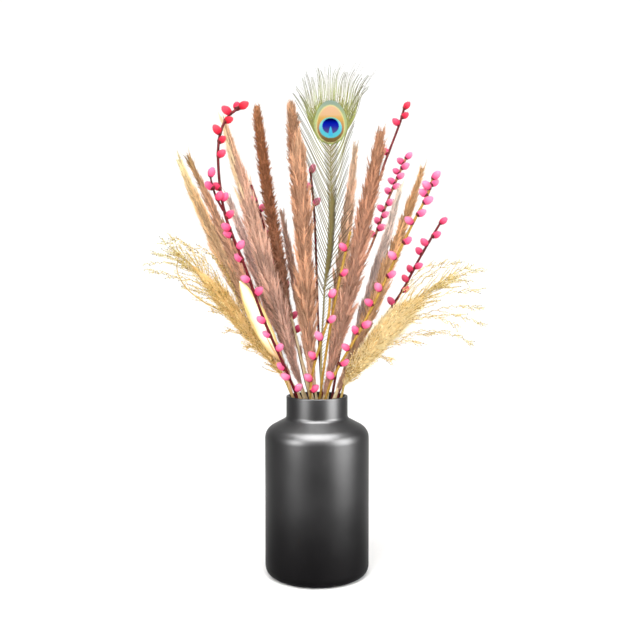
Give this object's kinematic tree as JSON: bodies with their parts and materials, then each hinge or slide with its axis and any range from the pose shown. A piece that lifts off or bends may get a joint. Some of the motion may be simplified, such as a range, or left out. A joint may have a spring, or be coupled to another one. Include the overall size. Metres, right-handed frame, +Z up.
{
  "type": "vase of dried pampas grass",
  "caption": "Matt black vase holding a dried bouquet: reed and pampas plumes, pink willow twigs, a peacock feather, golden grass and an ivory leaf.",
  "frame": {"origin": "centre of the vase's flat base, on the surface that it stands on", "axes": "+Z up along the vase's axis, the bouquet's front facing -Y, +X to the viewer's right"},
  "size_m": [0.4652, 0.2235, 0.722],
  "materials": {
    "matt_black_ceramic": "satin",
    "plume_golden_tan": "matt",
    "plume_rose_brown": "matt",
    "plume_rust": "matt",
    "plume_pale": "matt",
    "dyed_willow": "matt",
    "peacock_barbs": "satin",
    "golden_grass": "matt",
    "ivory_leaf": "matt"
  },
  "bodies": {
    "root": {"vase": "matt_black_ceramic", "plume_tan_far_left": "plume_golden_tan", "plume_rose_left": "plume_rose_brown", "plume_rose_streaked": "plume_rose_brown", "plume_mauve_back": "plume_pale", "plume_small_back_left": "plume_pale", "plume_rust": "plume_rust", "plume_small_back": "plume_pale", "plume_brown_tall": "plume_rose_brown", "plume_rose_front": "plume_rose_brown", "plume_peach_back": "plume_pale", "plume_brown_right": "plume_rose_brown", "plume_cream_back": "plume_pale", "plume_tan_right": "plume_golden_tan", "willow_arched_left": "dyed_willow", "willow_back_left": "dyed_willow", "willow_back_centre": "dyed_willow", "willow_front_centre": "dyed_willow", "willow_front_short": "dyed_willow", "willow_tall_right": "dyed_willow", "willow_bushy_right": "dyed_willow", "willow_front_right": "dyed_willow", "willow_low_right": "dyed_willow", "peacock_feather": "peacock_barbs", "golden_grass_left": "golden_grass", "golden_grass_right": "golden_grass", "ivory_leaf": "ivory_leaf"}
  },
  "joints": []
}
